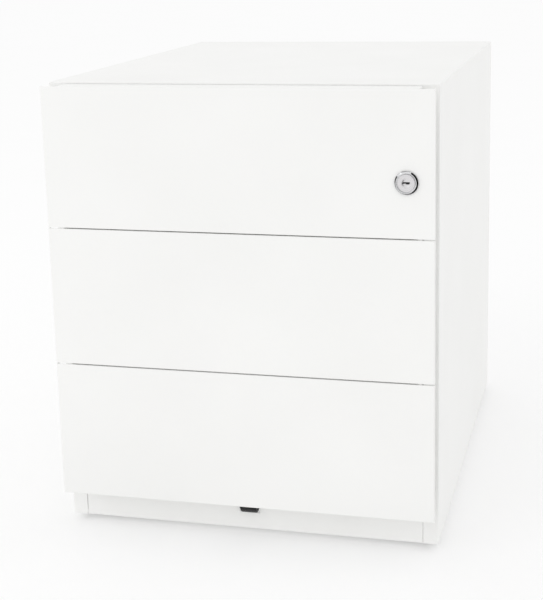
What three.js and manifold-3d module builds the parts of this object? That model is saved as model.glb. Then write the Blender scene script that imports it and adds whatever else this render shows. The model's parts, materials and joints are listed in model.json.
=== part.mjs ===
// A low steel drawer pedestal on concealed castors: a folded shell, three equal drawers on full-extension
// ball-bearing slides, a cylinder lock that works one vertical lock bar, and a small anti-tilt roller.
// Units are millimetres. +X is to the user's right, +Y to the back and +Z up. The origin is on the floor,
// under the middle of the whole object.
import * as THREE from "three";
import { mergeVertices } from "three/addons/utils/BufferGeometryUtils.js";
import Module from "manifold-3d";

// ---- Driving dimensions ------------------------------------------------------------------------------
const WIDTH = 420; // across the shell
const DEPTH = 565; // from the drawer faces to the back
const SHELL_HEIGHT = 495; // the shell alone
const FLOOR_GAP = 7; // the castors lift the shell this far
const SHEET = 1; // carcass and drawer box steel
const FRONT_SHEET = 1.2; // drawer front and upright steel
const FIT = 0.3; // gap left between two pieces that touch
const FRONT_RECESS = 27; // drawer faces to the shell's front plane
const LOCK_PROUD = 3; // lock rosette in front of the drawer face

const FRONT_SIDE_GAP = 1.5; // a drawer front is narrower than the shell by this on each side
const FRONT_HEIGHT = 151.2;
const FRONT_GAP = 1.2; // between two drawer fronts
const FRONT_BOTTOM = FLOOR_GAP + 37.2; // lower edge of the lowest front
const FRONT_LIP = 4.3; // folded edge at each end of a front
const RETURN_WIDTH = 17; // the shell's front flanges, beside the drawers
const TOP_RETURN = 15; // the shell's front flange above the drawers
const REAR_RETURN = 12;
const FOOT_RETURN = 12; // flanges along the shell's lower edges
const BACK_FLANGE = 11; // stiffening flanges of the back panel

const BASE_Z = FLOOR_GAP + 39; // underside of the base panel
const BASE_FLANGE = 15;
const PLINTH_STEP = 0.6; // the plinth lies this far behind the shell's front plane
const PLINTH_FLANGE = 12;
const NOTCH_HALF = 11.6; // opening in the plinth for the roller
const NOTCH_Z = FLOOR_GAP + 18.8;
const BASE_NOTCH = { half: 12.5, depth: 18 }; // opening in the base panel for the roller's bracket

const SLIDE_LENGTH = 480;
const SLIDE_HEIGHT = 35;
const SLIDE_DEPTH = 12.7; // thickness of a closed slide
const SLIDE_RISE = 8; // slide above the lower edge of its front
const RAIL_SHEET = 1.2;
const RAIL_STEP = 3.6; // each rail nests this far inside the last one
const RAIL_LIPS = { cabinet: 8.5, middle: 8, drawer: 8 }; // how far each rail's lips reach from its web
const MIDDLE_RAIL_INSET = 2.4; // middle rail's web from the cabinet rail's
const SLIDE_FRONT = 5; // slide behind the shell's front plane

const BOX_RISE = 8; // drawer box above the lower edge of its front
const BOX_HEIGHT = 110;
const BOX_LENGTH = 500;

const UPRIGHT_DEPTH = 30;
const FRONT_UPRIGHT_SETBACK = 20;
const REAR_UPRIGHT_SETBACK = 74;

const LOCK_X = 180;
const LOCK_RISE = 57.5; // lock axis above the lower edge of the top front
const ROSETTE_R = 12.25;
const BARREL_R = 9;
const BARREL_LENGTH = 19;
const PLUG_HEAD_R = 9.1;
const PLUG_HEAD_THICK = 1.7;
const PLUG_HEAD_SINK = 0.4; // plug's face behind the rosette's
const PLUG_R = 6.6;
const KEY_SLOT = { width: 7.6, height: 2, depth: 12 };
const CRANK_R = 8; // radius at which the crank pin turns
const CRANK_PIN_R = 2;
const CRANK_BOSS_R = 2.9; // around the foot of the pin
const CRANK_DISC_R = 6.5;
const CRANK_START = -Math.PI / 4; // pin below the axis while the drawers are free
const NUT = { radius: 12.4, thick: 3.7, sides: 6 };
const LOCK_BAR = { thick: 2.5, depth: 12.5, inset: 2 };
const LOCK_TAB = { rise: 52.8, thick: 3, depth: 9, reach: 10 };
const FORK_FINGER = 2.5;
const FORK_PLAY = 0.55; // around the crank pin
const CATCH = { rise: 58, height: 14, depth: 4.5 };

const ROLLER_R = 8;
const ROLLER_HALF = 9.3;
const ROLLER_AXLE_R = 1.5;
const BRACKET_SHEET = 1.2;
const BRACKET_DEPTH = 15.3;
const EAR_HALF = 3.6; // half the ear's width around the axle

const CASTOR_X = 160;
const CASTOR_FRONT_Y = -200;
const CASTOR_REAR_Y = 215;
const WHEEL_R = 17;
const WHEEL_HALF = 7;
const TRAIL = 13; // wheel axle behind the swivel axis
const CASTOR_AXLE_R = 2;
const CASTOR_AXLE_HALF = 10.8;
const PLATE = { half: 23, thick: 2 };
const SWIVEL_BOSS = { radius: 11, height: 2.7 };
const CROWN = { radius: 13, thick: 3 };
const FORK_LEG = { clear: 1.2, thick: 1.6 };

const COUNTERWEIGHT = { width: 330, thick: 15, height: 150, rise: 14 };

// ---- Derived places ----------------------------------------------------------------------------------
const halfWidth = WIDTH / 2;
const backY = (DEPTH + LOCK_PROUD) / 2;
const faceY = backY - DEPTH;
const shellY = faceY + FRONT_RECESS;
const topZ = FLOOR_GAP + SHELL_HEIGHT;
const openingHalf = halfWidth - RETURN_WIDTH;
const panHalf = openingHalf - 0.5;
const panBackY = shellY - 3.1; // the drawer stops this far in front of the shell's flanges
const boxFrontY = panBackY + FIT;
const boxHalf = openingHalf - SLIDE_DEPTH - FIT;
const slideY = shellY + SLIDE_FRONT;
const plinthY = shellY + PLINTH_STEP;
const lockZ = FRONT_BOTTOM + 2 * (FRONT_HEIGHT + FRONT_GAP) + LOCK_RISE;
const lockFaceY = faceY - LOCK_PROUD;
const rollerZ = NOTCH_Z + ROLLER_R + 0.8;
const rollerY = plinthY - 0.1;

// ---- Materials ---------------------------------------------------------------------------------------
const finish = (color, roughness, metalness) =>
  new THREE.MeshStandardMaterial({ color, roughness, metalness });
const whitePaint = finish(0xf2f2f0, 0.45, 0);
const zincSteel = finish(0xb9bcbf, 0.35, 0.9);
const chrome = finish(0xd8d9db, 0.12, 1);
const satinSteel = finish(0xc4c4c6, 0.3, 1);
const blackPlastic = finish(0x0c0c0d, 0.5, 0);
const greyTyre = finish(0x2a2b2d, 0.7, 0);
const castIron = finish(0x4a4b4c, 0.7, 0.6);

// ---- Solids ------------------------------------------------------------------------------------------
const wasm = await Module();
wasm.setup();

// A closed three.js geometry as a solid that can be joined and cut.
function solidOf(geometry) {
  const bare = geometry.clone();
  bare.deleteAttribute("normal");
  bare.deleteAttribute("uv");
  const merged = mergeVertices(bare, 1e-4);
  return new wasm.Manifold(
    new wasm.Mesh({
      numProp: 3,
      vertProperties: merged.attributes.position.array,
      triVerts: new Uint32Array(merged.index.array),
    }),
  );
}

function geometryOf(solid) {
  const mesh = solid.getMesh();
  const geometry = new THREE.BufferGeometry();
  geometry.setAttribute("position", new THREE.BufferAttribute(mesh.vertProperties, 3));
  geometry.setIndex(new THREE.BufferAttribute(mesh.triVerts, 1));
  geometry.computeVertexNormals();
  return geometry;
}

const join = (...solids) => solids.reduce((whole, next) => whole.add(next));
const cut = (solid, ...tools) => tools.reduce((rest, tool) => rest.subtract(tool), solid);

// A block between two limits on each axis, given in either order.
function block([xa, xb], [ya, yb], [za, zb]) {
  const box = new THREE.BoxGeometry(Math.abs(xb - xa), Math.abs(yb - ya), Math.abs(zb - za));
  return solidOf(box.translate((xa + xb) / 2, (ya + yb) / 2, (za + zb) / 2));
}

// A round bar along an axis ("x", "y" or "z"), between two places on that axis.
function rod(axis, radius, [from, to], [u, v], sides = 32) {
  const bar = new THREE.CylinderGeometry(radius, radius, Math.abs(to - from), sides);
  const middle = (from + to) / 2;
  if (axis === "x") bar.rotateZ(Math.PI / 2).translate(middle, u, v);
  if (axis === "y") bar.translate(u, middle, v);
  if (axis === "z") bar.rotateX(Math.PI / 2).translate(u, v, middle);
  return solidOf(bar);
}

// A plate in the YZ plane, with the given outline, between two places on X.
function sidePlate(outline, [xa, xb]) {
  const shape = new THREE.Shape(outline.map(([y, z]) => new THREE.Vector2(y, z)));
  const plate = new THREE.ExtrudeGeometry(shape, { depth: Math.abs(xb - xa), bevelEnabled: false });
  plate.rotateX(Math.PI / 2).rotateZ(Math.PI / 2);
  return solidOf(plate.translate(Math.min(xa, xb), 0, 0));
}

const pedestal = new THREE.Group();

function add(name, solid, material) {
  const mesh = new THREE.Mesh(geometryOf(solid), material);
  mesh.name = name;
  pedestal.add(mesh);
}

// ---- Carcass -----------------------------------------------------------------------------------------
// One sheet folded over the top and down both sides, with flanges at the front, the back and the feet.
function outerShell() {
  const across = [-halfWidth, halfWidth];
  const length = [shellY, backY];
  const full = block(across, length, [FLOOR_GAP, topZ]);
  const inside = block(
    [-halfWidth + SHEET, halfWidth - SHEET],
    [shellY + SHEET, backY - SHEET],
    [FLOOR_GAP + SHEET, topZ - SHEET],
  );
  const mouth = block(
    [-openingHalf, openingHalf],
    [shellY - 1, shellY + SHEET + 1],
    [FLOOR_GAP - 1, topZ - TOP_RETURN],
  );
  const rearMouth = block(
    [-halfWidth + REAR_RETURN, halfWidth - REAR_RETURN],
    [backY - SHEET - 1, backY + 1],
    [FLOOR_GAP - 1, topZ - REAR_RETURN],
  );
  const underside = block(
    [-halfWidth + FOOT_RETURN, halfWidth - FOOT_RETURN],
    [shellY + SHEET, backY + 1],
    [FLOOR_GAP - 1, FLOOR_GAP + SHEET + 1],
  );
  const frontFoot = block(
    [-openingHalf, openingHalf],
    [shellY - 1, shellY + SHEET + 1],
    [FLOOR_GAP - 1, FLOOR_GAP + SHEET + 1],
  );
  return cut(full, inside, mouth, rearMouth, underside, frontFoot);
}

// A flat back sheet with two flanges that stiffen it, set against the shell's rear flanges.
function backPanel() {
  const half = halfWidth - SHEET - FIT;
  const plate = [backY - 2 * SHEET - FIT, backY - SHEET - FIT];
  const height = [FLOOR_GAP + SHEET + FIT, topZ - SHEET - FIT];
  const flange = [plate[0] - BACK_FLANGE, plate[0]];
  return join(
    block([-half, half], plate, height),
    block([half - SHEET, half], flange, height),
    block([-half, SHEET - half], flange, height),
  );
}

// The floor of the cabinet, with flanges turned down at the sides and a notch for the roller bracket.
function basePanel() {
  const half = halfWidth - SHEET - 2 * FIT;
  const length = [plinthY + SHEET + FIT, backY - 2 * SHEET - FIT - BACK_FLANGE - 1];
  const flange = [BASE_Z - BASE_FLANGE, BASE_Z + SHEET];
  const plate = join(
    block([-half, half], length, [BASE_Z, BASE_Z + SHEET]),
    block([half - SHEET, half], length, flange),
    block([-half, SHEET - half], length, flange),
  );
  const notchX = [-BASE_NOTCH.half, BASE_NOTCH.half];
  const notchY = [length[0] - 1, shellY + BASE_NOTCH.depth];
  return cut(plate, block(notchX, notchY, [BASE_Z - 1, BASE_Z + 2]));
}

// The strip under the drawers, folded back along its lower and upper edges.
function plinthPanel() {
  const half = openingHalf - 0.4;
  const topOfPlinth = BASE_Z - FIT;
  const flange = [plinthY, plinthY + PLINTH_FLANGE];
  const strip = join(
    block([-half, half], [plinthY, plinthY + SHEET], [FLOOR_GAP, topOfPlinth]),
    block([-half, half], flange, [FLOOR_GAP, FLOOR_GAP + SHEET]),
    block([-half, half], flange, [topOfPlinth - SHEET, topOfPlinth]),
  );
  const notchY = [plinthY - 1, plinthY + PLINTH_FLANGE + 1];
  return cut(strip, block([-NOTCH_HALF, NOTCH_HALF], notchY, [NOTCH_Z, topOfPlinth + 1]));
}

// A channel that stands inside the shell and carries the slides; its open side faces the shell.
function upright(side, front) {
  const inner = side * (openingHalf + 0.4);
  const outer = side * (halfWidth - SHEET - 0.4);
  const height = [BASE_Z + SHEET + FIT, topZ - TOP_RETURN - 1];
  const rear = front + UPRIGHT_DEPTH;
  return join(
    block([inner, inner + side * FRONT_SHEET], [front, rear], height),
    block([inner, outer], [front, front + FRONT_SHEET], height),
    block([inner, outer], [rear - FRONT_SHEET, rear], height),
  );
}

function counterweight() {
  const rear = backY - 2 * SHEET - 2 * FIT;
  const foot = BASE_Z + COUNTERWEIGHT.rise;
  return block(
    [-COUNTERWEIGHT.width / 2, COUNTERWEIGHT.width / 2],
    [rear - COUNTERWEIGHT.thick, rear],
    [foot, foot + COUNTERWEIGHT.height],
  );
}

add("outer_shell", outerShell(), whitePaint);
add("back_panel", backPanel(), whitePaint);
add("base_panel", basePanel(), whitePaint);
add("plinth_panel", plinthPanel(), whitePaint);
add("counterweight", counterweight(), castIron);
for (const [name, side] of [["left", -1], ["right", 1]]) {
  add(`front_${name}_upright`, upright(side, shellY + FRONT_UPRIGHT_SETBACK), zincSteel);
  add(`rear_${name}_upright`, upright(side, backY - REAR_UPRIGHT_SETBACK - UPRIGHT_DEPTH), zincSteel);
}

// ---- Drawers -----------------------------------------------------------------------------------------
// A C-shaped rail. Its web lies at one X and its lips reach towards the other.
function rail(webX, lipX, inset, foot) {
  const length = [slideY, slideY + SLIDE_LENGTH];
  const low = foot + inset;
  const high = foot + SLIDE_HEIGHT - inset;
  const turn = Math.sign(lipX - webX) * RAIL_SHEET;
  return join(
    block([webX, webX + turn], length, [low, high]),
    block([webX, lipX], length, [low, low + RAIL_SHEET]),
    block([webX, lipX], length, [high - RAIL_SHEET, high]),
  );
}

// The face, its folded ends, and a hollow pan behind it, which is narrower, so that fingers reach
// behind the ends.
function drawerFront(foot) {
  const half = halfWidth - FRONT_SIDE_GAP;
  const height = [foot, foot + FRONT_HEIGHT];
  const back = faceY + FRONT_SHEET;
  const pan = cut(
    block([-panHalf, panHalf], [faceY, panBackY], height),
    block(
      [-panHalf + FRONT_SHEET, panHalf - FRONT_SHEET],
      [back, panBackY + 1],
      [foot + FRONT_SHEET, foot + FRONT_HEIGHT - FRONT_SHEET],
    ),
  );
  return join(
    pan,
    block([-half, half], [faceY, back], height),
    block([half - FRONT_SHEET, half], [faceY, back + FRONT_LIP], height),
    block([-half, FRONT_SHEET - half], [faceY, back + FRONT_LIP], height),
  );
}

// An open tray whose wide front wall closes the back of the pan.
function drawerBox(foot) {
  const floor = foot + BOX_RISE;
  const rear = boxFrontY + BOX_LENGTH;
  const tray = cut(
    block([-boxHalf, boxHalf], [boxFrontY, rear], [floor, floor + BOX_HEIGHT]),
    block(
      [-boxHalf + SHEET, boxHalf - SHEET],
      [boxFrontY + SHEET, rear - SHEET],
      [floor + SHEET, floor + BOX_HEIGHT + 1],
    ),
  );
  const frontWall = [boxFrontY, boxFrontY + SHEET];
  return join(tray, block([-panHalf, panHalf], frontWall, [foot, foot + FRONT_HEIGHT]));
}

const tabFrontY = shellY + 1.5;
const catchY = tabFrontY + LOCK_TAB.depth + 1;
const lockBarFoot = BASE_Z + 16;
const lockBarHead = lockZ + 33;

function drawerCatch(foot) {
  const low = foot + CATCH.rise;
  const across = [boxHalf + FIT, openingHalf - 1.5];
  return block(across, [catchY, catchY + CATCH.depth], [low, low + CATCH.height]);
}

const drawers = ["bottom", "middle", "top"].map((name, row) => ({
  name,
  foot: FRONT_BOTTOM + row * (FRONT_HEIGHT + FRONT_GAP),
}));

const lockHole = rod("y", BARREL_R + FIT, [faceY - 1, faceY + 3], [LOCK_X, lockZ]);
const crankWindow = block(
  [LOCK_X + 1.5, panHalf + 1],
  [boxFrontY - 1, boxFrontY + 2],
  [lockZ - 12, lockZ + 12],
);

for (const { name, foot } of drawers) {
  const slideFoot = foot + SLIDE_RISE;
  const isTop = name === "top";
  add(`${name}_drawer_front`, isTop ? cut(drawerFront(foot), lockHole) : drawerFront(foot), whitePaint);
  add(`${name}_drawer_box`, isTop ? cut(drawerBox(foot), crankWindow) : drawerBox(foot), whitePaint);
  add(`${name}_drawer_catch`, drawerCatch(foot), zincSteel);
  for (const [hand, side] of [["left", -1], ["right", 1]]) {
    const outerX = side * openingHalf;
    const innerX = side * (openingHalf - SLIDE_DEPTH);
    const middleX = outerX - side * MIDDLE_RAIL_INSET;
    const slide = `${name}_${hand}`;
    const cabinetLip = outerX - side * RAIL_LIPS.cabinet;
    const middleLip = middleX - side * RAIL_LIPS.middle;
    const drawerLip = innerX + side * RAIL_LIPS.drawer;
    add(`${slide}_cabinet_rail`, rail(outerX, cabinetLip, 0, slideFoot), zincSteel);
    add(`${slide}_middle_rail`, rail(middleX, middleLip, RAIL_STEP, slideFoot), zincSteel);
    add(`${slide}_drawer_rail`, rail(innerX, drawerLip, 2 * RAIL_STEP, slideFoot), zincSteel);
  }
}

// ---- Lock --------------------------------------------------------------------------------------------
const axis = [LOCK_X, lockZ];

// Rosette and barrel in one piece, bored for the plug and recessed for its head.
function lockHousing() {
  const barrelEnd = faceY + BARREL_LENGTH;
  const headSeat = PLUG_HEAD_SINK + PLUG_HEAD_THICK + FIT;
  return cut(
    join(
      rod("y", ROSETTE_R, [lockFaceY, faceY - FIT], axis, 48),
      rod("y", BARREL_R, [faceY - FIT, barrelEnd], axis),
    ),
    rod("y", PLUG_HEAD_R + FIT, [lockFaceY - 1, lockFaceY + headSeat], axis, 48),
    rod("y", PLUG_R + FIT, [lockFaceY, barrelEnd + 1], axis),
  );
}

function lockNut() {
  const behindFace = faceY + FRONT_SHEET + FIT;
  const nut = rod("y", NUT.radius, [behindFace, behindFace + NUT.thick], axis, NUT.sides);
  return cut(nut, rod("y", BARREL_R + FIT, [behindFace - 1, behindFace + NUT.thick + 1], axis));
}

const crankEndY = panBackY - 0.9;
const crankDiscY = crankEndY - 2.4;
const plugEndY = crankDiscY - FIT;

function lockPlug() {
  const head = lockFaceY + PLUG_HEAD_SINK;
  const slot = block(
    [LOCK_X - KEY_SLOT.width / 2, LOCK_X + KEY_SLOT.width / 2],
    [head - 1, head + KEY_SLOT.depth],
    [lockZ - KEY_SLOT.height / 2, lockZ + KEY_SLOT.height / 2],
  );
  return cut(
    join(
      rod("y", PLUG_HEAD_R, [head, head + PLUG_HEAD_THICK], axis, 48),
      rod("y", PLUG_R, [head + PLUG_HEAD_THICK, plugEndY], axis),
    ),
    slot,
  );
}

// A disc on the plug's tail, whose pin reaches into the fork of the lock bar while the drawer is shut.
function lockCrank() {
  const disc = [crankDiscY, crankEndY];
  const pin = [LOCK_X + CRANK_R * Math.cos(CRANK_START), lockZ + CRANK_R * Math.sin(CRANK_START)];
  return join(
    rod("y", CRANK_DISC_R, disc, axis),
    rod("y", CRANK_BOSS_R, disc, pin),
    rod("y", CRANK_PIN_R, [disc[0], tabFrontY + LOCK_TAB.depth - 0.5], pin, 20),
  );
}

// A vertical bar behind the right-hand front flange, with a tab for each lower drawer and a fork for
// the crank pin.
function lockBar() {
  const inner = openingHalf + LOCK_BAR.inset;
  const barX = [inner, inner + LOCK_BAR.thick];
  const tabX = [openingHalf - LOCK_TAB.reach, inner + 1];
  const tabY = [tabFrontY, tabFrontY + LOCK_TAB.depth];
  const pinZ = lockZ + CRANK_R * Math.sin(CRANK_START);
  const play = CRANK_PIN_R + FORK_PLAY;
  const tabs = drawers
    .filter(({ name }) => name !== "top")
    .map(({ foot }) => foot + LOCK_TAB.rise)
    .map((low) => block(tabX, tabY, [low, low + LOCK_TAB.thick]));
  return join(
    block(barX, [tabFrontY, tabFrontY + LOCK_BAR.depth], [lockBarFoot, lockBarHead]),
    block(tabX, tabY, [pinZ - play - FORK_FINGER, pinZ - play]),
    block(tabX, tabY, [pinZ + play, pinZ + play + FORK_FINGER]),
    ...tabs,
  );
}

add("lock_housing", lockHousing(), chrome);
add("lock_nut", lockNut(), zincSteel);
add("lock_plug", lockPlug(), satinSteel);
add("lock_crank", lockCrank(), zincSteel);
add("lock_bar", lockBar(), zincSteel);

// ---- Anti-tilt roller, under the front of the bottom drawer -------------------------------------------
const bracketTop = FRONT_BOTTOM + BOX_RISE - FIT;
const earX = [ROLLER_HALF + FIT, ROLLER_HALF + FIT + BRACKET_SHEET];

function stabiliserBracket() {
  const shoulderY = boxFrontY + SHEET + 0.5;
  const rearY = shoulderY + BRACKET_DEPTH;
  const neckZ = FRONT_BOTTOM - 1.5;
  const ear = [
    [rollerY - EAR_HALF, rollerZ - EAR_HALF],
    [rollerY + EAR_HALF, rollerZ - EAR_HALF],
    [rearY, neckZ],
    [rearY, bracketTop],
    [shoulderY, bracketTop],
    [shoulderY, neckZ],
    [rollerY - EAR_HALF, neckZ - 2],
  ];
  return cut(
    join(
      sidePlate(ear, earX),
      sidePlate(ear, [-earX[1], -earX[0]]),
      block([-earX[1], earX[1]], [shoulderY, rearY], [bracketTop - BRACKET_SHEET, bracketTop]),
    ),
    rod("x", ROLLER_AXLE_R + FIT, [-earX[1] - 1, earX[1] + 1], [rollerY, rollerZ], 20),
  );
}

const rollerAxis = [rollerY, rollerZ];
add("stabiliser_bracket", stabiliserBracket(), blackPlastic);
add(
  "stabiliser_roller",
  cut(
    rod("x", ROLLER_R, [-ROLLER_HALF, ROLLER_HALF], rollerAxis),
    rod("x", ROLLER_AXLE_R + FIT, [-ROLLER_HALF - 1, ROLLER_HALF + 1], rollerAxis, 20),
  ),
  blackPlastic,
);
add("stabiliser_axle", rod("x", ROLLER_AXLE_R, [-earX[1] - 0.3, earX[1] + 0.3], rollerAxis, 20), zincSteel);

// ---- Castors -----------------------------------------------------------------------------------------
const plateTop = BASE_Z - FIT;
const plateBottom = plateTop - PLATE.thick;
const bossBottom = plateBottom - SWIVEL_BOSS.height;
const crownTop = bossBottom - FIT;
const crownBottom = crownTop - CROWN.thick;

function castorPlate(x, y) {
  const across = [x - PLATE.half, x + PLATE.half];
  const along = [y - PLATE.half, y + PLATE.half];
  return join(
    block(across, along, [plateBottom, plateTop]),
    rod("z", SWIVEL_BOSS.radius, [bossBottom, plateBottom], [x, y]),
  );
}

function castorFork(x, y) {
  const legIn = WHEEL_HALF + FORK_LEG.clear;
  const legOut = legIn + FORK_LEG.thick;
  const axleY = y + TRAIL;
  const leg = [
    [y - 10, crownTop],
    [y - 10, crownBottom - 2],
    [axleY - 6, WHEEL_R - 4],
    [axleY - 3, WHEEL_R - 6],
    [axleY + 3, WHEEL_R - 6],
    [axleY + 6, WHEEL_R - 3],
    [y + 14, crownBottom - 2],
    [y + 12, crownTop],
  ];
  return cut(
    join(
      rod("z", CROWN.radius, [crownBottom, crownTop], [x, y]),
      sidePlate(leg, [x + legIn, x + legOut]),
      sidePlate(leg, [x - legOut, x - legIn]),
    ),
    rod("x", CASTOR_AXLE_R + FIT, [x - legOut - 1, x + legOut + 1], [axleY, WHEEL_R], 20),
  );
}

for (const [hand, side] of [["left", -1], ["right", 1]]) {
  for (const [end, y] of [["front", CASTOR_FRONT_Y], ["rear", CASTOR_REAR_Y]]) {
    const x = side * CASTOR_X;
    const hub = [y + TRAIL, WHEEL_R];
    const wheel = cut(
      rod("x", WHEEL_R, [x - WHEEL_HALF, x + WHEEL_HALF], hub, 40),
      rod("x", CASTOR_AXLE_R + FIT, [x - WHEEL_HALF - 1, x + WHEEL_HALF + 1], hub, 20),
    );
    add(`${end}_${hand}_castor_plate`, castorPlate(x, y), zincSteel);
    add(`${end}_${hand}_castor_fork`, castorFork(x, y), zincSteel);
    add(`${end}_${hand}_castor_wheel`, wheel, greyTyre);
    const axle = rod("x", CASTOR_AXLE_R, [x - CASTOR_AXLE_HALF, x + CASTOR_AXLE_HALF], hub, 20);
    add(`${end}_${hand}_castor_axle`, axle, zincSteel);
  }
}

export default pedestal;
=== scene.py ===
"""A low white steel drawer pedestal: the looks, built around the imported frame. Lengths are in metres."""

import json
import math

import bmesh
import bpy
from mathutils import Matrix, Vector
from mathutils.bvhtree import BVHTree


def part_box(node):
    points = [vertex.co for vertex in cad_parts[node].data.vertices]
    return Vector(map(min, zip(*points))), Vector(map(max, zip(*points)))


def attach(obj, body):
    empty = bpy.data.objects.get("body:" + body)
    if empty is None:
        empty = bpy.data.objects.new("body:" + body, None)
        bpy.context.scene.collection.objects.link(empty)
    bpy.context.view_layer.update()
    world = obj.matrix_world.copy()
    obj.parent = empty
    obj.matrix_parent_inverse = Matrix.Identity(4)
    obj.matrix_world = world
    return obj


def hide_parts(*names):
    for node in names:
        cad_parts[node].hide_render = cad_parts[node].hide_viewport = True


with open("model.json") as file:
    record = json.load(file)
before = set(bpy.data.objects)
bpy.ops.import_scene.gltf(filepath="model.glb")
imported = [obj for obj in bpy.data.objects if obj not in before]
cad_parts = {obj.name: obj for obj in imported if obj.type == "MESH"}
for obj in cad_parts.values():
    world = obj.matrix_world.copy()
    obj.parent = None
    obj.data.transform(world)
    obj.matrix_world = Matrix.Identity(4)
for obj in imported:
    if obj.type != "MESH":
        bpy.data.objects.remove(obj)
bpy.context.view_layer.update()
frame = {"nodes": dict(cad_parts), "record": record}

MM = 0.001
DRAWERS = ("bottom", "middle", "top")
HANDS = {"left": -1, "right": 1}
CASTORS = ("front_left", "front_right", "rear_left", "rear_right")

record = frame["record"]
BODY_OF = {node: body for body, nodes in record["behaviour"]["bodies"].items() for node in nodes}
SLOT_OF = {part["node"]: part["material_slot"] for part in record["subparts"]}

WELD = 0.002 * MM  # corners of a CAD mesh that are nearer than this are one
UPRIGHT_WELD = 0.15 * MM  # the same for the uprights, whose bends have slivers
FLAT_WITHIN = 0.8  # degrees between facets that are one flat face
SOFT_FROM = 30  # degrees at which an edge is rounded
NUDGE = 0.05 * MM  # how far inside the solid a wall's thickness is measured from
UNBOUNDED = 1.0  # a wall's thickness where nothing lies behind it

RAIL_SHEET = 1.2 * MM
RAIL_BEND = 1.6 * MM
OUTER_BALLS_X = 187.4 * MM  # between the cabinet rail and the middle rail
INNER_BALLS_X = 185.2 * MM  # between the middle rail and the drawer rail
BALLS_IN_ROW = 24
CAGE_SHEET = 0.5 * MM
CAGE_OFF_WEB = 0.55 * MM  # the inner cage from the middle rail's web
CAGE_SHARE = 0.47  # a cage's length as a share of its rail's
CAGE_FROM_END = 8 * MM
BALLS_FROM_CAGE_END = 6 * MM

NUT_BORE = 9.3 * MM
PLATE_THICK = 2 * MM  # a castor's plate
ROLLER_STEPS = 64
CASTOR_STEPS = 72

ROOM_LIGHT = 0.985
KEY_POWER = 11
FLOOR_GLOW = 0.32
FLOOR_HALF = 30
CARDS_END = -0.285  # where the cards stop, just before the lock's face
NEAR_FLOOR = 0.002  # height of the cards that lie low
BLACK_CARD = 0.01


# ---- Finishes ----------------------------------------------------------------------------------------
class Finish:
    """A procedural finish, read in Object coordinates. Its methods add one layer each."""

    def __init__(self, name, colour, roughness, metallic=0.0, specular=0.5):
        self.material = bpy.data.materials.new(name)
        self.material.use_nodes = True
        self.tree = self.material.node_tree
        self.shader = self.tree.nodes["Principled BSDF"]
        self.shader.inputs["Base Color"].default_value = (*colour, 1)
        self.shader.inputs["Roughness"].default_value = roughness
        self.shader.inputs["Metallic"].default_value = metallic
        self.shader.inputs["Specular IOR Level"].default_value = specular
        self.place = self.node("ShaderNodeTexCoord").outputs["Object"]
        self.height = None

    def node(self, kind, **settings):
        made = self.tree.nodes.new(kind)
        for key, value in settings.items():
            setattr(made, key, value)
        return made

    def link(self, output, target):
        self.tree.links.new(output, target)

    def noise(self, scale, detail=2.0, stretch=(1, 1, 1), centre=(0, 0, 0)):
        """Noise of that many cells to the metre, drawn out along an axis where its stretch is small."""
        mapping = self.node("ShaderNodeMapping")
        mapping.inputs["Scale"].default_value = stretch
        mapping.inputs["Location"].default_value = [-c * s for c, s in zip(centre, stretch)]
        texture = self.node("ShaderNodeTexNoise")
        texture.inputs["Scale"].default_value = scale
        texture.inputs["Detail"].default_value = detail
        self.link(self.place, mapping.inputs["Vector"])
        self.link(mapping.outputs["Vector"], texture.inputs["Vector"])
        return texture.outputs["Fac"]

    def ranged(self, source, low, high, start=0.3, end=0.7):
        limits = self.node("ShaderNodeMapRange")
        for socket, value in zip(("From Min", "From Max", "To Min", "To Max"), (start, end, low, high)):
            limits.inputs[socket].default_value = value
        self.link(source, limits.inputs["Value"])
        return limits.outputs["Result"]

    def vary_colour(self, source, first, second, start=0.3, end=0.7):
        mix = self.node("ShaderNodeMix", data_type="RGBA")
        mix.inputs["A"].default_value = (*first, 1)
        mix.inputs["B"].default_value = (*second, 1)
        self.link(self.ranged(source, 0, 1, start, end), mix.inputs["Factor"])
        self.link(mix.outputs["Result"], self.shader.inputs["Base Color"])
        return self

    def vary_roughness(self, source, low, high):
        self.link(self.ranged(source, low, high), self.shader.inputs["Roughness"])
        return self

    def relief(self, source, depth, strength=1.0):
        """Adds a relief of that depth, in metres, over what is there."""
        bump = self.node("ShaderNodeBump")
        bump.inputs["Distance"].default_value = depth
        bump.inputs["Strength"].default_value = strength
        self.link(source, bump.inputs["Height"])
        if self.height is not None:
            self.link(self.height, bump.inputs["Normal"])
        self.height = bump.outputs["Normal"]
        self.link(self.height, self.shader.inputs["Normal"])
        return self

    def rings_about(self, centre, scale):
        """Noise in fine rings about an axis along Y, as a lathe leaves them."""
        apart = self.node("ShaderNodeSeparateXYZ")
        shift = self.node("ShaderNodeVectorMath", operation="SUBTRACT")
        shift.inputs[1].default_value = centre
        self.link(self.place, shift.inputs[0])
        self.link(shift.outputs["Vector"], apart.inputs["Vector"])
        flat = self.node("ShaderNodeCombineXYZ")
        self.link(apart.outputs["X"], flat.inputs["X"])
        self.link(apart.outputs["Z"], flat.inputs["Z"])
        radius = self.node("ShaderNodeVectorMath", operation="LENGTH")
        self.link(flat.outputs["Vector"], radius.inputs[0])
        texture = self.node("ShaderNodeTexNoise", noise_dimensions="1D")
        texture.inputs["Scale"].default_value = scale
        texture.inputs["Detail"].default_value = 2
        self.link(radius.outputs["Value"], texture.inputs["W"])
        return texture.outputs["Fac"]


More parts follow.
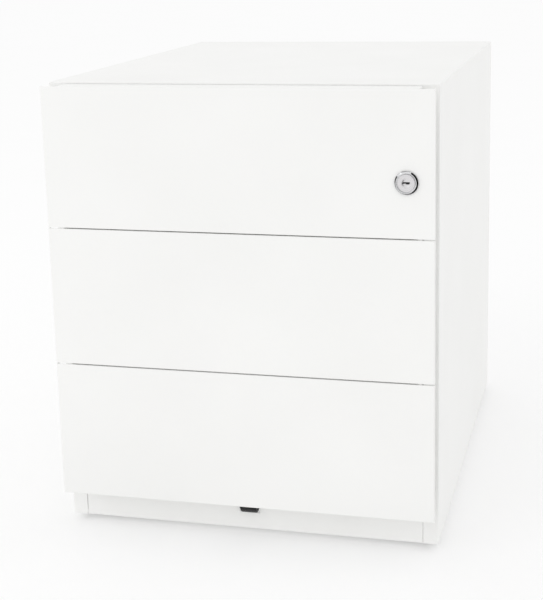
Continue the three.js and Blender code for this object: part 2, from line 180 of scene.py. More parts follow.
def powder_coat():
    """Satin white powder coat: a fine orange peel over a faint drift of tone."""
    coat = Finish("white_powder_coat", (0.9, 0.9, 0.885), 0.42, specular=0.4)
    coat.vary_colour(coat.noise(7), (0.887, 0.887, 0.874), (0.908, 0.908, 0.896))
    coat.vary_roughness(coat.noise(240), 0.38, 0.48)
    coat.relief(coat.noise(420, detail=1), 0.00005, 0.5)
    coat.relief(coat.noise(1900), 0.00001, 0.6)
    return coat.material


def zinc_plate():
    """Rolled steel with bright zinc: drawn out along the rolling, with a faint yellow and blue bloom."""
    zinc = Finish("bright_zinc_plate", (0.62, 0.63, 0.64), 0.3, metallic=1)
    zinc.vary_colour(zinc.noise(38, 3), (0.56, 0.585, 0.62), (0.66, 0.65, 0.61))
    zinc.vary_roughness(zinc.noise(90, 3, stretch=(8, 0.6, 8)), 0.24, 0.42)
    zinc.relief(zinc.noise(160, 4, stretch=(9, 0.3, 9)), 0.000012, 0.5)
    return zinc.material


def polished_chrome(centre):
    chrome = Finish("polished_chrome", (0.72, 0.725, 0.735), 0.09, metallic=1)
    chrome.vary_roughness(chrome.noise(600), 0.06, 0.13)
    chrome.relief(chrome.rings_about(centre, 2600), 0.000002, 0.5)
    return chrome.material


def turned_steel(centre):
    """The plug's satin face, with the lathe's fine rings."""
    steel = Finish("turned_satin_steel", (0.7, 0.69, 0.7), 0.28, metallic=1)
    rings = steel.rings_about(centre, 3200)
    steel.vary_colour(rings, (0.66, 0.65, 0.66), (0.78, 0.77, 0.78))
    steel.vary_roughness(rings, 0.24, 0.36)
    steel.relief(rings, 0.000006, 0.7)
    return steel.material


def black_nylon():
    nylon = Finish("black_nylon", (0.012, 0.012, 0.013), 0.45)
    nylon.vary_colour(nylon.noise(60), (0.01, 0.01, 0.011), (0.018, 0.018, 0.019))
    nylon.vary_roughness(nylon.noise(500), 0.38, 0.55)
    nylon.relief(nylon.noise(1500), 0.00002, 0.5)
    return nylon.material


def grey_rubber():
    rubber = Finish("grey_tread_rubber", (0.07, 0.072, 0.076), 0.7, specular=0.3)
    rubber.vary_colour(rubber.noise(120, 4), (0.05, 0.052, 0.056), (0.095, 0.096, 0.1))
    rubber.vary_roughness(rubber.noise(300), 0.6, 0.82)
    rubber.relief(rubber.noise(1100, 4), 0.00004, 0.6)
    return rubber.material


def cast_iron():
    iron = Finish("primed_cast_iron", (0.07, 0.07, 0.072), 0.62, metallic=0.2)
    iron.vary_colour(iron.noise(45, 5), (0.05, 0.05, 0.052), (0.1, 0.1, 0.102))
    iron.vary_roughness(iron.noise(200), 0.5, 0.75)
    iron.relief(iron.noise(330, 5), 0.00018, 0.6)
    return iron.material


def bearing_steel():
    balls = Finish("bearing_steel", (0.74, 0.75, 0.76), 0.12, metallic=1)
    balls.vary_roughness(balls.noise(900), 0.08, 0.2)
    balls.relief(balls.noise(2400), 0.000002, 0.3)
    return balls.material


lock_low, lock_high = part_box("lock_housing")
LOCK_AXIS = (lock_low + lock_high) / 2
LOCK_FACE = lock_low.y
FINISHES = {
    "white_paint": powder_coat(),
    "zinc_steel": zinc_plate(),
    "chrome": polished_chrome(LOCK_AXIS),
    "satin_steel": turned_steel(LOCK_AXIS),
    "black_plastic": black_nylon(),
    "grey_tyre": grey_rubber(),
    "cast_iron": cast_iron(),
}
BEARING_STEEL = bearing_steel()


# ---- Making pieces -----------------------------------------------------------------------------------
def finished(name, mesh, body, slot, replaces=(), material=None):
    """Links a finished mesh, gives it its finish, and makes it ride on its body."""
    mesh.materials.clear()
    mesh.materials.append(material or FINISHES[slot])
    piece = bpy.data.objects.new(name, mesh)
    bpy.context.scene.collection.objects.link(piece)
    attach(piece, body)
    if replaces:
        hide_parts(*replaces)
    return piece


def baked(piece):
    """The mesh of a scratch object with its modifiers applied. The scratch object is removed."""
    bpy.context.scene.collection.objects.link(piece)
    graph = bpy.context.evaluated_depsgraph_get()
    graph.update()
    mesh = bpy.data.meshes.new_from_object(piece.evaluated_get(graph), depsgraph=graph)
    scratch = piece.data
    bpy.data.objects.remove(piece)
    bpy.data.meshes.remove(scratch)
    return mesh


def mesh_of(bm, name):
    mesh = bpy.data.meshes.new(name)
    bm.to_mesh(mesh)
    bm.free()
    return mesh


def merged(node, weld):
    """A merged copy of a CAD node's mesh, with its flat faces whole."""
    bm = bmesh.new()
    bm.from_mesh(frame["nodes"][node].data)
    bmesh.ops.remove_doubles(bm, verts=bm.verts, dist=weld)
    bmesh.ops.dissolve_limit(bm, angle_limit=math.radians(FLAT_WITHIN), verts=bm.verts, edges=bm.edges)
    bm.normal_update()
    return bm


def depth_under(tree, edge, face, share):
    """How thick the solid is under a face, straight in from a point a share of the way along its edge."""
    first, last = (v.co for v in edge.verts)
    inward = face.normal.cross((last - first).normalized())
    loop = next(corner for corner in edge.link_loops if corner.face == face)
    if loop.vert is not edge.verts[0]:
        inward.negate()
    start = first.lerp(last, share) - face.normal * NUDGE + inward * NUDGE
    distance = tree.ray_cast(start, inward)[3]
    return UNBOUNDED if distance is None else distance


def softened(bm, name, fold, rim=0.22 * MM, inside=0.3 * MM, sheet=2.6 * MM, segments=3):
    """Rounds a merged CAD solid: folds by their bend, cut rims by less, and inside corners by a fillet."""
    weight = bm.edges.layers.float.new("bevel_weight_edge")
    tree = BVHTree.FromBMesh(bm)
    for edge in bm.edges:
        if len(edge.link_faces) != 2 or edge.calc_face_angle(0) < math.radians(SOFT_FROM):
            continue
        if not edge.is_convex:
            edge[weight] = inside / fold
            continue
        middle = min(depth_under(tree, edge, face, 0.5) for face in edge.link_faces)
        ends = min(depth_under(tree, edge, face, at) for face in edge.link_faces for at in (0.03, 0.97))
        edge[weight] = (rim if middle < sheet else min(fold, 0.75 * ends)) / fold
    for face in bm.faces:
        face.smooth = True
    piece = bpy.data.objects.new(name, mesh_of(bm, name))
    bevel = piece.modifiers.new("bends", "BEVEL")
    bevel.limit_method = "WEIGHT"
    bevel.width = fold
    bevel.segments = segments
    bevel.use_clamp_overlap = False
    even = piece.modifiers.new("even_shading", "WEIGHTED_NORMAL")
    even.mode = "FACE_AREA"
    even.weight = 100
    return baked(piece)


def soften_node(node, fold=0.5 * MM, weld=WELD, **settings):
    """Rebuilds a CAD node with its edges rounded, in the same place."""
    mesh = softened(merged(node, weld), node, fold, **settings)
    return finished(f"{node}_made", mesh, BODY_OF[node], SLOT_OF[node], [node])


def arc(centre, radius, start, end, steps=6):
    """Points (radius, distance) on an arc, between two angles in degrees."""
    turns = [math.radians(start + (end - start) * i / steps) for i in range(steps + 1)]
    return [(centre[0] + radius * math.cos(t), centre[1] + radius * math.sin(t)) for t in turns]


def turned(profile, axis_point, axis, steps=96):
    """A solid of revolution. The profile's points are (radius, distance along the axis), in millimetres."""
    along = Vector(axis)
    out = Vector((0, 0, 1)) if abs(along.z) < 0.5 else Vector((1, 0, 0))
    bm = bmesh.new()
    verts = [bm.verts.new(out * r * MM + along * d * MM) for r, d in profile]
    edges = [bm.edges.new(pair) for pair in zip(verts, verts[1:])]
    if profile[0][0] > 0:
        edges.append(bm.edges.new((verts[-1], verts[0])))
    bmesh.ops.spin(
        bm, geom=verts + edges, cent=(0, 0, 0), axis=along, angle=math.tau, steps=steps, use_merge=True
    )
    bmesh.ops.remove_doubles(bm, verts=bm.verts, dist=1e-6)
    bmesh.ops.translate(bm, verts=bm.verts, vec=Vector(axis_point))
    bmesh.ops.recalc_face_normals(bm, faces=bm.faces)
    for face in bm.faces:
        face.smooth = True
    return bm


def sharpened(mesh, angle=35):
    """Marks the edges over an angle as sharp, so that the rest shades smoothly."""
    mesh.set_sharp_from_angle(angle=math.radians(angle))
    return mesh


# ---- Repeated fittings, by Geometry Nodes ------------------------------------------------------------
class Recipe:
    """A small Geometry Nodes tree with named sizes, which sets one shape at every point it is given."""

    def __init__(self, name, sizes, material):
        self.tree = bpy.data.node_groups.new(name, "GeometryNodeTree")
        face = self.tree.interface
        face.new_socket("Places", in_out="INPUT", socket_type="NodeSocketGeometry")
        face.new_socket("Fittings", in_out="OUTPUT", socket_type="NodeSocketGeometry")
        self.sockets = {}
        for label, value in sizes.items():
            socket = face.new_socket(label, in_out="INPUT", socket_type="NodeSocketFloat")
            socket.default_value = value
            self.sockets[label] = socket.identifier
        self.given = self.tree.nodes.new("NodeGroupInput").outputs
        self.material = material

    def node(self, kind, inputs=(), **settings):
        made = self.tree.nodes.new(kind)
        for key, value in settings.items():
            setattr(made, key, value)
        for key, value in dict(inputs).items():
            if hasattr(value, "is_linked"):
                self.tree.links.new(value, made.inputs[key])
            else:
                made.inputs[key].default_value = value
        return made

    def times(self, source, factor):
        made = self.node("ShaderNodeMath", {0: source, 1: factor}, operation="MULTIPLY")
        return made.outputs[0]

    def vector(self, x=0.0, y=0.0, z=0.0):
        return self.node("ShaderNodeCombineXYZ", {"X": x, "Y": y, "Z": z}).outputs[0]

    def bar(self, x, y, z, centre=None):
        cube = self.node("GeometryNodeMeshCube", {"Size": self.vector(x, y, z)}).outputs["Mesh"]
        if centre is None:
            return cube
        moved = self.node("GeometryNodeTransform", {"Geometry": cube, "Translation": centre})
        return moved.outputs["Geometry"]

    def cut(self, solid, tool):
        made = self.node("GeometryNodeMeshBoolean", {"Mesh 1": solid}, operation="DIFFERENCE")
        self.tree.links.new(tool, made.inputs["Mesh 2"])
        return made.outputs["Mesh"]

    def set_at_places(self, shape):
        """Ends the tree: the shape at every point, its Z turned to the point's facing."""
        facing = self.node("GeometryNodeInputNamedAttribute", {"Name": "facing"}, data_type="FLOAT_VECTOR")
        turn = self.node(
            "FunctionNodeAlignRotationToVector", {"Vector": facing.outputs["Attribute"]}, axis="Z"
        )
        placed = self.node(
            "GeometryNodeInstanceOnPoints",
            {"Points": self.given["Places"], "Instance": shape, "Rotation": turn.outputs["Rotation"]},
        )
        real = self.node("GeometryNodeRealizeInstances", {"Geometry": placed.outputs["Instances"]})
        smooth = self.node("GeometryNodeSetShadeSmooth", {"Geometry": real.outputs["Geometry"]})
        dressed = self.node(
            "GeometryNodeSetMaterial", {"Geometry": smooth.outputs["Geometry"], "Material": self.material}
        )
        ending = self.tree.nodes.new("NodeGroupOutput")
        self.tree.links.new(dressed.outputs["Geometry"], ending.inputs["Fittings"])
        return self

    def dome(self, radius, height):
        """Half a flattened ball, which stands on its flat side."""
        ball = self.node("GeometryNodeMeshUVSphere", {"Segments": 24, "Rings": 12, "Radius": 1.0})
        flat = self.node(
            "GeometryNodeTransform",
            {"Geometry": ball.outputs["Mesh"], "Scale": self.vector(radius, radius, height)},
        )
        drop = self.vector(z=self.times(height, -1.0))
        under = self.bar(self.times(radius, 3), self.times(radius, 3), self.times(height, 2), drop)
        return self.cut(flat.outputs["Geometry"], under)


def ball_recipe():
    recipe = Recipe("bearing_ball", {"Ball Radius": 1.1 * MM}, BEARING_STEEL)
    ball = recipe.node("GeometryNodeMeshUVSphere", {"Segments": 10, "Rings": 7})
    recipe.tree.links.new(recipe.given["Ball Radius"], ball.inputs["Radius"])
    return recipe.set_at_places(ball.outputs["Mesh"])


def rivet_recipe():
    """A blind rivet's flat dome, with the dimple that its mandrel leaves."""
    sizes = {"Head Radius": 3.2 * MM, "Head Height": 0.9 * MM, "Dimple Radius": 0.9 * MM}
    recipe = Recipe("blind_rivet", sizes, FINISHES["zinc_steel"])
    radius, height, dimple = (recipe.given[key] for key in sizes)
    head = recipe.dome(radius, height)
    hole = recipe.node("GeometryNodeMeshCylinder", {"Vertices": 16, "Radius": dimple, "Depth": height})
    raised = recipe.node(
        "GeometryNodeTransform", {"Geometry": hole.outputs["Mesh"], "Translation": recipe.vector(z=height)}
    )
    return recipe.set_at_places(recipe.cut(head, raised.outputs["Geometry"]))


def screw_recipe():
    """A pan-head screw with a cross recess."""
    sizes = {"Head Radius": 3.6 * MM, "Head Height": 1.1 * MM, "Recess Width": 0.9 * MM}
    recipe = Recipe("pan_head_screw", sizes, FINISHES["zinc_steel"])
    radius, height, recess = (recipe.given[key] for key in sizes)
    head = recipe.dome(radius, height)
    reach = recipe.times(radius, 1.1)
    long_way = recipe.bar(reach, recess, height, recipe.vector(z=height))
    cross_way = recipe.bar(recess, reach, height, recipe.vector(z=recipe.times(height, 0.95)))
    return recipe.set_at_places(recipe.cut(recipe.cut(head, long_way), cross_way))


def fittings(name, recipe, places, facing, body, slot, **sizes):
    """One plain mesh with the recipe's shape at each place. A list of facings gives each its own."""
    mesh = bpy.data.meshes.new(name)
    mesh.from_pydata([tuple(p) for p in places], [], [])
    ways = facing if isinstance(facing, list) else [facing] * len(places)
    attribute = mesh.attributes.new("facing", "FLOAT_VECTOR", "POINT")
    attribute.data.foreach_set("vector", [c for way in ways for c in way])
    holder = bpy.data.objects.new(name, mesh)
    modifier = holder.modifiers.new("set", "NODES")
    modifier.node_group = recipe.tree
    for label, value in sizes.items():
        modifier[recipe.sockets[label.replace("_", " ").title()]] = value
    made = sharpened(baked(holder), 40)
    return finished(name, made, body, slot, material=recipe.material)


BALL = ball_recipe()
RIVET = rivet_recipe()
SCREW = screw_recipe()


def spread(low, high, count):
    return [low + (high - low) * i / (count - 1) for i in range(count)]


# ---- Carcass -----------------------------------------------------------------------------------------
def make_carcass():
    soften_node("outer_shell", fold=1.6 * MM, segments=5)
    soften_node("back_panel", fold=1.2 * MM)
    soften_node("base_panel", fold=1.2 * MM)
    soften_node("plinth_panel", fold=0.8 * MM, segments=4)
    soften_node("counterweight", fold=1.5 * MM, segments=4)
    for hand in HANDS:
        for end in ("front", "rear"):
            soften_node(f"{end}_{hand}_upright", fold=1.2 * MM, weld=UPRIGHT_WELD)


def make_back_fixings():
    """Screws through the back panel: a row down each side, and the four that hold the counterweight."""
    low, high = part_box("back_panel")
    weight_low, weight_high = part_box("counterweight")
    edge_inset, lowest, highest = 22 * MM, 50 * MM, 460 * MM
    columns = (low.x + edge_inset, high.x - edge_inset)
    sides = [(x, z) for x in columns for z in spread(lowest, highest, 5)]
    inset = 28 * MM
    corners = [
        (x, z)
        for x in (weight_low.x + inset, weight_high.x - inset)
        for z in (weight_low.z + inset, weight_high.z - inset)
    ]
    places = [(x, high.y, z) for x, z in sides + corners]
    fittings("back_panel_screws", SCREW, places, (0, 1, 0), "carcass", "zinc_steel")


# ---- Slides ------------------------------------------------------------------------------------------
def rail_profile(low, high, opens, thick):
    """A rail's section across X and Z, in metres: a web and two lips, joined by round bends."""
    web = low.x if opens > 0 else high.x
    lip = high.x if opens > 0 else low.x
    inner_web = web + opens * thick
    turns = [math.radians(90 * i / 5) for i in range(6)]
    lower_bend, upper_bend = (
        [
            (web + opens * RAIL_BEND * (1 - math.sin(t)), z + up * RAIL_BEND * (1 - math.cos(t)))
            for t in turns
        ]
        for z, up in ((low.z, 1), (high.z, -1))
    )
    outside = [(lip, low.z), *lower_bend, *reversed(upper_bend), (lip, high.z)]
    inside = [(lip, high.z - thick), (inner_web, high.z - thick), (inner_web, low.z + thick)]
    return [*outside, *inside, (lip, low.z + thick)]


def make_rail(node, opens):
    """A rolled rail along Y, from its profile, with the edges of its ends and lips rounded."""
    low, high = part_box(node)
    profile = rail_profile(low, high, opens, RAIL_SHEET)
    bm = bmesh.new()
    ends = [[bm.verts.new((x, y, z)) for x, z in profile] for y in (low.y, high.y)]
    count = len(profile)
    for i in range(count):
        j = (i + 1) % count
        bm.faces.new((ends[0][i], ends[0][j], ends[1][j], ends[1][i]))
    bm.faces.new(ends[0])
    bm.faces.new(list(reversed(ends[1])))
    bmesh.ops.recalc_face_normals(bm, faces=bm.faces)
    mesh = softened(bm, node, 0.3 * MM, rim=0.2 * MM, inside=0.3 * MM, segments=2)
    return finished(f"{node}_made", mesh, BODY_OF[node], SLOT_OF[node], [node])


def strip(bm, x, y, z):
    """A thin block between limits, added to a mesh."""
    size = [abs(b - a) for a, b in (x, y, z)]
    centre = [(a + b) / 2 for a, b in (x, y, z)]
    matrix = Matrix.Translation(centre) @ Matrix.Diagonal((*size, 1))
    bmesh.ops.create_cube(bm, size=1, matrix=matrix)


def make_ball_cage(slide, stage, side, at, body):
    """A pressed cage beside the rails' webs, with a finger along each row of balls."""
    bm = bmesh.new()
    half_sheet, short_of_balls = CAGE_SHEET / 2, 1.6 * MM
    web_x = at["web_x"]
    strip(bm, (web_x - half_sheet, web_x + half_sheet), at["y"], at["gap"])
    for z in at["gap"]:
        strip(bm, (web_x, at["ball_x"] - side * short_of_balls), at["y"], (z - half_sheet, z + half_sheet))
    finished(f"{slide}_{stage}_cage", mesh_of(bm, slide), body, "zinc_steel")


def make_slide(drawer, hand):
    """One slide: three rails and two cages. Gives its balls' places, which ride with the middle rail."""
    side = HANDS[hand]
    slide = f"{drawer}_{hand}"
    make_rail(f"{slide}_cabinet_rail", -side)
    make_rail(f"{slide}_middle_rail", -side)
    make_rail(f"{slide}_drawer_rail", side)
    cabinet_low, cabinet_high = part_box(f"{slide}_cabinet_rail")
    middle_low, middle_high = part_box(f"{slide}_middle_rail")
    drawer_low, drawer_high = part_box(f"{slide}_drawer_rail")
    reach = CAGE_SHARE * (middle_high.y - middle_low.y)
    outer_web = max(abs(cabinet_low.x), abs(cabinet_high.x)) - RAIL_SHEET
    middle_web = max(abs(middle_low.x), abs(middle_high.x))
    stages = {
        "outer": {
            "gap": (
                (cabinet_low.z + RAIL_SHEET + middle_low.z) / 2,
                (cabinet_high.z - RAIL_SHEET + middle_high.z) / 2,
            ),
            "ball_x": side * OUTER_BALLS_X,
            "web_x": side * (outer_web + middle_web) / 2,
            "y": (middle_high.y - reach, middle_high.y - CAGE_FROM_END),
        },
        "inner": {
            "gap": (
                (middle_low.z + RAIL_SHEET + drawer_low.z) / 2,
                (middle_high.z - RAIL_SHEET + drawer_high.z) / 2,
            ),
            "ball_x": side * INNER_BALLS_X,
            "web_x": side * (middle_web - RAIL_SHEET - CAGE_OFF_WEB),
            "y": (middle_low.y + CAGE_FROM_END, middle_low.y + reach),
        },
    }
    balls = []
    for stage, at in stages.items():
        make_ball_cage(slide, stage, side, at, f"{drawer}_middle_rails")
        first, last = at["y"][0] + BALLS_FROM_CAGE_END, at["y"][1] - BALLS_FROM_CAGE_END
        balls += [(at["ball_x"], y, z) for z in at["gap"] for y in spread(first, last, BALLS_IN_ROW)]
    return balls


# ---- Drawers -----------------------------------------------------------------------------------------
def make_drawer(drawer):
    soften_node(f"{drawer}_drawer_front", fold=1.3 * MM, segments=5)
    soften_node(f"{drawer}_drawer_box", fold=1.3 * MM, segments=4)
    soften_node(f"{drawer}_drawer_catch", fold=0.8 * MM)
    balls = [place for hand in HANDS for place in make_slide(drawer, hand)]
    fittings(f"{drawer}_slide_balls", BALL, balls, (0, 0, 1), f"{drawer}_middle_rails", "zinc_steel")


def make_drawer_rivets(drawer):
    """Rivets inside the drawer's side walls, which hold its rails."""
    through_wall, from_end = 1.3 * MM, 30 * MM
    places, ways = [], []
    for hand, side in HANDS.items():
        low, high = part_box(f"{drawer}_{hand}_drawer_rail")
        wall = side * (min(abs(low.x), abs(high.x)) - through_wall)
        for y in spread(low.y + from_end, high.y - from_end, 4):
            places.append((wall, y, (low.z + high.z) / 2))
            ways.append((-side, 0, 0))
    fittings(f"{drawer}_rail_rivets", RIVET, places, ways, f"{drawer}_drawer", "zinc_steel")


# ---- Lock --------------------------------------------------------------------------------------------
def keyed(mesh_bm, name, slots):
    """Cuts key slots, each (low corner, high corner), into a turned piece."""
    cutter_bm = bmesh.new()
    for (xa, ya, za), (xb, yb, zb) in slots:
        strip(cutter_bm, (xa, xb), (ya, yb), (za, zb))
    cutter = bpy.data.objects.new("key_cutter", mesh_of(cutter_bm, "key_cutter"))
    bpy.context.scene.collection.objects.link(cutter)
    piece = bpy.data.objects.new(name, mesh_of(mesh_bm, name))
    cut = piece.modifiers.new("keyway", "BOOLEAN")
    cut.operation = "DIFFERENCE"
    cut.object = cutter
    cut.use_self = True
    mesh = baked(piece)
    scratch = cutter.data
    bpy.data.objects.remove(cutter)
    bpy.data.meshes.remove(scratch)
    return mesh


def hex_nut(low, high, bore, steps=8):
    """A thin hexagon nut about an axis along Y, with its corners turned down and its bore opened."""
    centre = (low + high) / 2
    flat = min(high.x - low.x, high.z - low.z) / 2
    chamfer, turned_down = 0.5 * MM, flat * 1.06
    side_angle = math.tau / 6
    count = 6 * steps
    bm = bmesh.new()
    rings = []
    for i in range(count):
        turn = math.tau * i / count
        wall = flat / math.cos(turn % side_angle - side_angle / 2)
        face_edge = min(wall, turned_down) - 0.05 * MM
        cut_back = chamfer + max(0, wall - turned_down)
        section = (
            (bore, low.y + chamfer),
            (bore + chamfer, low.y),
            (face_edge, low.y),
            (wall, low.y + cut_back),
            (wall, high.y - cut_back),
            (face_edge, high.y),
            (bore + chamfer, high.y),
            (bore, high.y - chamfer),
        )
        ring = [(centre.x + r * math.sin(turn), y, centre.z + r * math.cos(turn)) for r, y in section]
        rings.append([bm.verts.new(point) for point in ring])
    for here, there in zip(rings, rings[1:] + rings[:1]):
        for k in range(len(here)):
            j = (k + 1) % len(here)
            bm.faces.new((here[k], here[j], there[j], there[k]))
    bmesh.ops.recalc_face_normals(bm, faces=bm.faces)
    for face in bm.faces:
        face.smooth = True
    return bm


def make_lock():
    """The rosette and barrel, the keyed plug with its dished face, black wafers in the keyway as painted
    shade, and the parts behind the front.
    """
    face = (LOCK_AXIS.x, LOCK_FACE, LOCK_AXIS.z)
    depth = (lock_high.y - lock_low.y) / MM
    rosette = [
        (9.4, 2.4),
        (9.4, 1.7),
        (9.75, 1.7),
        (9.75, 0.2),
        *arc((9.95, 0.2), 0.2, 180, 270, 3),
        *arc((10.4, 0.3), 0.3, 270, 308, 4),
        (11.25, 0.68),
        *arc((11.75, 1.6), 0.5, 316, 360, 4),
        (12.25, 2.75),
        (9.0, 2.75),
        (9.0, depth),
        (6.95, depth),
        (6.95, 2.4),
    ]
    mesh = sharpened(mesh_of(turned(rosette, face, (0, 1, 0)), "lock_rosette"))
    finished("lock_rosette_and_barrel", mesh, "top_drawer", "chrome", ["lock_housing"])
    plug_low, plug_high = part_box("lock_plug")
    plug_depth = (plug_high.y - plug_low.y) / MM
    plug = [
        (0, 1.0),
        (1.6, 0.96),
        (2.9, 0.78),
        (3.9, 0.46),
        (4.6, 0.2),
        (5.2, 0.1),
        (6.6, 0.05),
        (7.5, 0.08),
        *arc((8.7, 0.4), 0.4, 270, 360, 5),
        (9.1, 1.7),
        (6.6, 1.7),
        (6.6, plug_depth),
        (0, plug_depth),
    ]
    keyway_half, keyway_depth = 3.8 * MM, 12 * MM
    x, z, front = LOCK_AXIS.x, LOCK_AXIS.z, plug_low.y - 1 * MM
    slots = [
        ((x - keyway_half, front, z - 0.5 * MM), (x + keyway_half, front + keyway_depth, z + 1.1 * MM)),
        ((x - 0.4 * MM, front, z - 1.3 * MM), (x + 3.0 * MM, front + keyway_depth, z + 0.2 * MM)),
    ]
    turned_plug = turned(plug, (x, plug_low.y, z), (0, 1, 0))
    mesh = sharpened(keyed(turned_plug, "lock_plug_made", slots), 30)
    finished("lock_plug_made", mesh, "lock_core", "satin_steel", ["lock_plug"])
    # Wafer shapes in black plastic fill the keyway. Their black is painted shade that darkens the inside of
    # the slot.
    keyway_shade_wafers = bmesh.new()
    for i in range(5):
        first = plug_low.y + (2.4 + 1.8 * i) * MM
        shade_wafer_span = (first, first + 1.4 * MM)
        strip(keyway_shade_wafers, (x - 3.7 * MM, x + 3.7 * MM), shade_wafer_span, (z - 0.4 * MM, z + 1.0 * MM))
        strip(keyway_shade_wafers, (x - 0.3 * MM, x + 2.9 * MM), shade_wafer_span, (z - 1.2 * MM, z - 0.45 * MM))
    finished("lock_keyway_shade_wafers", mesh_of(keyway_shade_wafers, "lock_keyway_shade_wafers"), "lock_core", "black_plastic")
    mesh = sharpened(mesh_of(hex_nut(*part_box("lock_nut"), NUT_BORE), "lock_nut_made"), 25)
    finished("lock_nut_made", mesh, "top_drawer", "zinc_steel", ["lock_nut"])
    soften_node("lock_crank", fold=0.4 * MM, inside=0.1 * MM)
    soften_node("lock_bar", fold=0.5 * MM)


# ---- Anti-tilt roller and castors ---------------------------------------------------------------------
def wheel_of(node):
    """A CAD wheel's centre, and its half width and radius in millimetres. Its axle lies along X."""
    low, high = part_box(node)
    return (low + high) / 2, (high.x - low.x) / 2 / MM, (high.z - low.z) / 2 / MM


def turned_wheel(name, profile, centre, steps):
    return sharpened(mesh_of(turned(profile, centre, (1, 0, 0), steps), name))


def roller_profile(half, radius, bore, shoulder):
    """A roller's section, from bore to rim and back, in millimetres. Its end faces are sunk at the middle."""
    return [
        (bore, -half + 0.6),
        (radius * 0.45, -half + 0.6),
        (radius * 0.55, -half),
        *arc((radius - shoulder, -half + shoulder), shoulder, 270, 360, 6),
        *arc((radius - shoulder, half - shoulder), shoulder, 0, 90, 6),
        (radius * 0.55, half),
        (radius * 0.45, half - 0.6),
        (bore, half - 0.6),
    ]


def make_anti_tilt_roller():
    centre, half, radius = wheel_of("stabiliser_roller")
    profile = roller_profile(half, radius, bore=1.85, shoulder=1.4)
    mesh = turned_wheel("anti_tilt_roller", profile, centre, ROLLER_STEPS)
    finished("anti_tilt_roller", mesh, "stabiliser_roller", "black_plastic", ["stabiliser_roller"])
    soften_node("stabiliser_bracket", fold=0.5 * MM)
    soften_node("stabiliser_axle", fold=0.3 * MM)


def make_castor(castor):
    """A wheel with a tread round a plain hub, its fork, its axle and its plate."""
    body = f"{castor}_castor_wheel"
    centre, half, radius = wheel_of(body)
    seat, web, shoulder = radius * 0.7, radius * 0.62, 2.4
    tread = [
        (seat, -half + 1.2),
        (radius - 3.2, -half + 0.4),
        *arc((radius - shoulder, -half + shoulder), shoulder, 270, 360, 6),
        *arc((radius - shoulder, half - shoulder), shoulder, 0, 90, 6),
        (radius - 3.2, half - 0.4),
        (seat, half - 1.2),
    ]
    hub = [
        (2.4, -half),
        (4.6, -half),
        (5.2, -half + 2.2),
        (web, -half + 2.2),
        (seat, -half + 1.3),
        (seat, half - 1.3),
        (web, half - 2.2),
        (5.2, half - 2.2),
        (4.6, half),
        (2.4, half),
    ]
    mesh = turned_wheel(f"{castor}_tread", tread, centre, CASTOR_STEPS)
    finished(f"{castor}_castor_tread", mesh, body, "grey_tyre", [f"{castor}_castor_wheel"])
    mesh = turned_wheel(f"{castor}_hub", hub, centre, CASTOR_STEPS)
    finished(f"{castor}_castor_hub", mesh, body, "black_plastic")
    soften_node(f"{castor}_castor_fork", fold=0.5 * MM, inside=0.2 * MM)
    soften_node(f"{castor}_castor_axle", fold=0.3 * MM)
    soften_node(f"{castor}_castor_plate", fold=0.4 * MM, inside=0.2 * MM)


def make_castor_screws():
    inset = 5.5 * MM
    places = []
    for castor in CASTORS:
        low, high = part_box(f"{castor}_castor_plate")
        underside = high.z - PLATE_THICK
        for x in (low.x + inset, high.x - inset):
            places += [(x, low.y + inset, underside), (x, high.y - inset, underside)]
    fittings("castor_plate_screws", SCREW, places, (0, 0, -1), "carcass", "zinc_steel")


# ---- Stage -------------------------------------------------------------------------------------------
def make_floor():
    """A pale floor that is lit faintly from below, as a light table is, so that shadows on it stay soft."""
    half = FLOOR_HALF
    mesh = bpy.data.meshes.new("studio_floor")
    corners = [(-half, -half, 0), (half, -half, 0), (half, half, 0), (-half, half, 0)]
    mesh.from_pydata(corners, [], [(0, 1, 2, 3)])
    floor = bpy.data.objects.new("studio_floor", mesh)
    bpy.context.scene.collection.objects.link(floor)
    paper = Finish("lit_studio_floor", (0.66, 0.66, 0.66), 0.9, specular=0.0)
    paper.vary_colour(paper.noise(3), (0.658, 0.658, 0.658), (0.662, 0.662, 0.662))
    paper.shader.inputs["Emission Color"].default_value = (1, 1, 1, 1)
    paper.shader.inputs["Emission Strength"].default_value = FLOOR_GLOW
    mesh.materials.append(paper.material)


def make_soft_lamp(name, place, target, size, power):
    data = bpy.data.lights.new(name, "AREA")
    data.shape = "RECTANGLE"
    data.size, data.size_y = size
    data.energy = power
    lamp = bpy.data.objects.new(name, data)
    lamp.location = place
    lamp.rotation_euler = (Vector(target) - Vector(place)).to_track_quat("-Z", "Y").to_euler()
    bpy.context.scene.collection.objects.link(lamp)


def make_card(name, corners, grey):
    """A card that only reflections see, to give the polished metal its dark edges."""
    mesh = bpy.data.meshes.new(name)
    mesh.from_pydata(corners, [], [(0, 1, 2, 3)])
    card = bpy.data.objects.new(name, mesh)
    bpy.context.scene.collection.objects.link(card)
    felt = Finish("reflected_card", (grey, grey, grey), 0.9, specular=0.0)
    felt.vary_roughness(felt.noise(5), 0.85, 0.95)
    mesh.materials.append(felt.material)
    card.visible_camera = False
    card.visible_diffuse = False
    card.visible_shadow = False


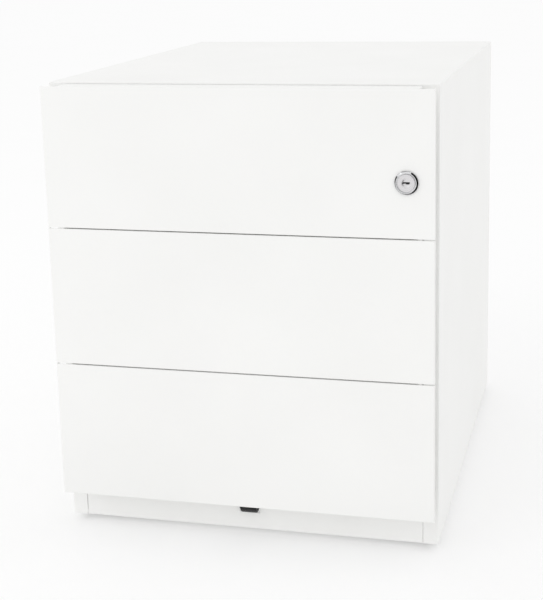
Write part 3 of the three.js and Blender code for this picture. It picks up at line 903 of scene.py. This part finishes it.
def upright_card(name, x, front, height, grey):
    back = CARDS_END
    make_card(name, [(x, front, 0), (x, back, 0), (x, back, height), (x, front, height)], grey)


def level_card(name, z, left, right, front, grey):
    back = CARDS_END
    make_card(name, [(left, front, z), (right, front, z), (right, back, z), (left, back, z)], grey)


def make_studio():
    world = bpy.data.worlds.new("white_room")
    world.use_nodes = True
    world.node_tree.nodes["Background"].inputs["Color"].default_value = (1, 1, 1, 1)
    world.node_tree.nodes["Background"].inputs["Strength"].default_value = ROOM_LIGHT
    bpy.context.scene.world = world
    make_soft_lamp("key_softbox", (-2.2, -2.6, 2.6), (0, 0, 0.3), (2.4, 2.4), KEY_POWER)
    upright_card("right_card", x=0.9, front=-2.1, height=2.2, grey=BLACK_CARD)
    level_card("right_low_card", NEAR_FLOOR, left=0.3, right=0.9, front=-1.0, grey=BLACK_CARD)
    upright_card("left_card", x=-1.9, front=-0.9, height=1.3, grey=0.1)
    level_card("left_low_card", NEAR_FLOOR, left=-1.9, right=-0.1, front=-0.42, grey=0.2)
    level_card("top_card", 1.9, left=-0.9, right=0.9, front=-0.76, grey=0.12)
    level_card("low_card", NEAR_FLOOR, left=-0.1, right=0.3, front=-0.36, grey=0.12)
    bpy.context.scene.view_settings.view_transform = "Standard"
    bpy.context.scene.view_settings.look = "None"


def make_camera():
    data = bpy.data.cameras.new("studio_camera")
    data.sensor_width = 36
    data.lens = 78.89
    data.shift_x = -0.0361
    data.shift_y = -0.1207
    camera = bpy.data.objects.new("studio_camera", data)
    camera.location = (0.3801, -1.5571, 0.6465)
    camera.rotation_euler = [math.radians(a) for a in (77.591, 1.175, 13.702)]
    bpy.context.scene.collection.objects.link(camera)
    bpy.context.scene.camera = camera


# ---- The whole pedestal ------------------------------------------------------------------------------
make_camera()
make_studio()
make_floor()
make_carcass()
make_back_fixings()
for drawer in DRAWERS:
    make_drawer(drawer)
    make_drawer_rivets(drawer)
make_lock()
make_anti_tilt_roller()
for castor in CASTORS:
    make_castor(castor)
make_castor_screws()

bpy.context.view_layer.update()
